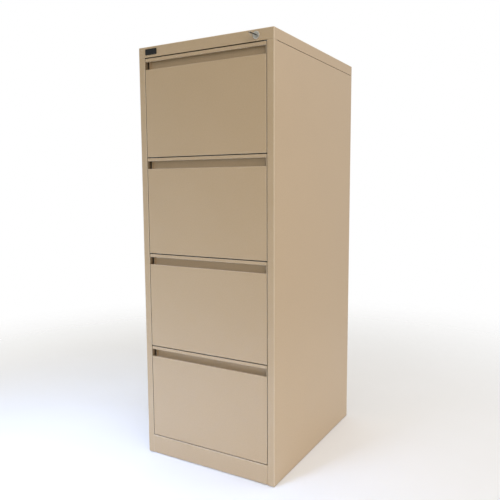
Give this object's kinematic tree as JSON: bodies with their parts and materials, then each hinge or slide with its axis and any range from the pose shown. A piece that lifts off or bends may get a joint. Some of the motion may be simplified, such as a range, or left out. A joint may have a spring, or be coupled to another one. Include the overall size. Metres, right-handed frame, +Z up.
{
  "type": "filing cabinet",
  "caption": "Upright steel filing cabinet with full-width drawers on telescopic runners, recessed pulls under a lip, a flat lid, a plinth and a keyed lock.",
  "frame": {"origin": "on the floor under the middle of the overall box, which takes in the key and its ring in front of the case", "axes": "+Z up, the drawer fronts face -Y, +X to the right of someone who faces them"},
  "size_m": [0.478, 0.6506, 1.321],
  "materials": {
    "case_paint": "beige powder coat, semi-gloss, fine orange peel",
    "drawer_paint": "beige powder coat, semi-gloss, fine orange peel",
    "inner_paint": "beige powder coat, thinner and duller inside",
    "upright_zinc": "galvanised sheet with a faint spangle",
    "runner_zinc": "bright zinc plate on rolled steel",
    "bar_zinc": "zinc plate on sheared steel",
    "foot_zinc": "zinc plate",
    "lock_nickel": "nickel plate",
    "ring_steel": "bright spring-steel wire",
    "key_plastic": "black moulded head over a plated blade",
    "badge_plastic": "black, rounded at the edge, blank"
  },
  "bodies": {
    "case": {"left_side_panel": "case_paint", "right_side_panel": "case_paint", "back_panel": "inner_paint", "top_lid": "case_paint", "plinth_rail": "case_paint", "base_pan": "inner_paint", "front_left_upright": "upright_zinc", "front_right_upright": "upright_zinc", "rear_left_upright": "upright_zinc", "rear_right_upright": "upright_zinc", "front_left_foot": "foot_zinc", "front_right_foot": "foot_zinc", "rear_left_foot": "foot_zinc", "rear_right_foot": "foot_zinc", "badge_plate": "badge_plastic", "lock_housing": "lock_nickel", "lower_bar_guide": "bar_zinc", "upper_bar_guide": "bar_zinc", "drawer_1_runner_outer_left": "runner_zinc", "drawer_1_runner_outer_right": "runner_zinc", "drawer_2_runner_outer_left": "runner_zinc", "drawer_2_runner_outer_right": "runner_zinc", "drawer_3_runner_outer_left": "runner_zinc", "drawer_3_runner_outer_right": "runner_zinc", "drawer_4_runner_outer_left": "runner_zinc", "drawer_4_runner_outer_right": "runner_zinc"},
    "drawer_1": {"drawer_1_body": "inner_paint", "drawer_1_front": "drawer_paint", "drawer_1_front_liner": "drawer_paint", "drawer_1_runner_inner_left": "runner_zinc", "drawer_1_runner_inner_right": "runner_zinc"},
    "drawer_2": {"drawer_2_body": "inner_paint", "drawer_2_front": "drawer_paint", "drawer_2_front_liner": "drawer_paint", "drawer_2_runner_inner_left": "runner_zinc", "drawer_2_runner_inner_right": "runner_zinc"},
    "drawer_3": {"drawer_3_body": "inner_paint", "drawer_3_front": "drawer_paint", "drawer_3_front_liner": "drawer_paint", "drawer_3_runner_inner_left": "runner_zinc", "drawer_3_runner_inner_right": "runner_zinc"},
    "drawer_4": {"drawer_4_body": "inner_paint", "drawer_4_front": "drawer_paint", "drawer_4_front_liner": "drawer_paint", "drawer_4_runner_inner_left": "runner_zinc", "drawer_4_runner_inner_right": "runner_zinc"},
    "runner_1": {"drawer_1_runner_middle_left": "runner_zinc", "drawer_1_runner_middle_right": "runner_zinc"},
    "runner_2": {"drawer_2_runner_middle_left": "runner_zinc", "drawer_2_runner_middle_right": "runner_zinc"},
    "runner_3": {"drawer_3_runner_middle_left": "runner_zinc", "drawer_3_runner_middle_right": "runner_zinc"},
    "runner_4": {"drawer_4_runner_middle_left": "runner_zinc", "drawer_4_runner_middle_right": "runner_zinc"},
    "lock_bar": {"lock_bar": "bar_zinc"},
    "lock_plug": {"lock_plug": "lock_nickel", "lock_cam": "bar_zinc", "key": "key_plastic"},
    "key_ring": {"key_ring": "ring_steel"}
  },
  "joints": [
    {"name": "drawer_1_slide", "type": "slide", "parent": "case", "child": "drawer_1", "axis": [0, -1, 0], "range_m": [0, 0.5]},
    {"name": "drawer_2_slide", "type": "slide", "parent": "case", "child": "drawer_2", "axis": [0, -1, 0], "range_m": [0, 0.5]},
    {"name": "drawer_3_slide", "type": "slide", "parent": "case", "child": "drawer_3", "axis": [0, -1, 0], "range_m": [0, 0.5]},
    {"name": "drawer_4_slide", "type": "slide", "parent": "case", "child": "drawer_4", "axis": [0, -1, 0], "range_m": [0, 0.5]},
    {"name": "runner_1_slide", "type": "slide", "parent": "case", "child": "runner_1", "axis": [0, -1, 0], "range_m": [0, 0.25]},
    {"name": "runner_2_slide", "type": "slide", "parent": "case", "child": "runner_2", "axis": [0, -1, 0], "range_m": [0, 0.25]},
    {"name": "runner_3_slide", "type": "slide", "parent": "case", "child": "runner_3", "axis": [0, -1, 0], "range_m": [0, 0.25]},
    {"name": "runner_4_slide", "type": "slide", "parent": "case", "child": "runner_4", "axis": [0, -1, 0], "range_m": [0, 0.25]},
    {"name": "lock_bar_lift", "type": "slide", "parent": "case", "child": "lock_bar", "axis": [0, 0, 1], "range_m": [0, 0.01556]},
    {"name": "lock_turn", "type": "hinge", "parent": "case", "child": "lock_plug", "pos_m": [0.183, -0.28469, 1.3045], "axis": [0, -1, 0], "range_deg": [0, 90]},
    {"name": "key_ring_hang", "type": "hinge", "parent": "lock_plug", "child": "key_ring", "pos_m": [0.183, -0.28469, 1.3045], "axis": [0, -1, 0], "range_deg": [-90, 0]}
  ],
  "couplings": [
    {"joint": "runner_1_slide", "follows": "drawer_1_slide", "ratio": 0.5},
    {"joint": "runner_2_slide", "follows": "drawer_2_slide", "ratio": 0.5},
    {"joint": "runner_3_slide", "follows": "drawer_3_slide", "ratio": 0.5},
    {"joint": "runner_4_slide", "follows": "drawer_4_slide", "ratio": 0.5},
    {"joint": "lock_turn", "follows": "lock_bar_lift", "rad_per_m": 100.97},
    {"joint": "key_ring_hang", "follows": "lock_bar_lift", "rad_per_m": -100.97}
  ]
}
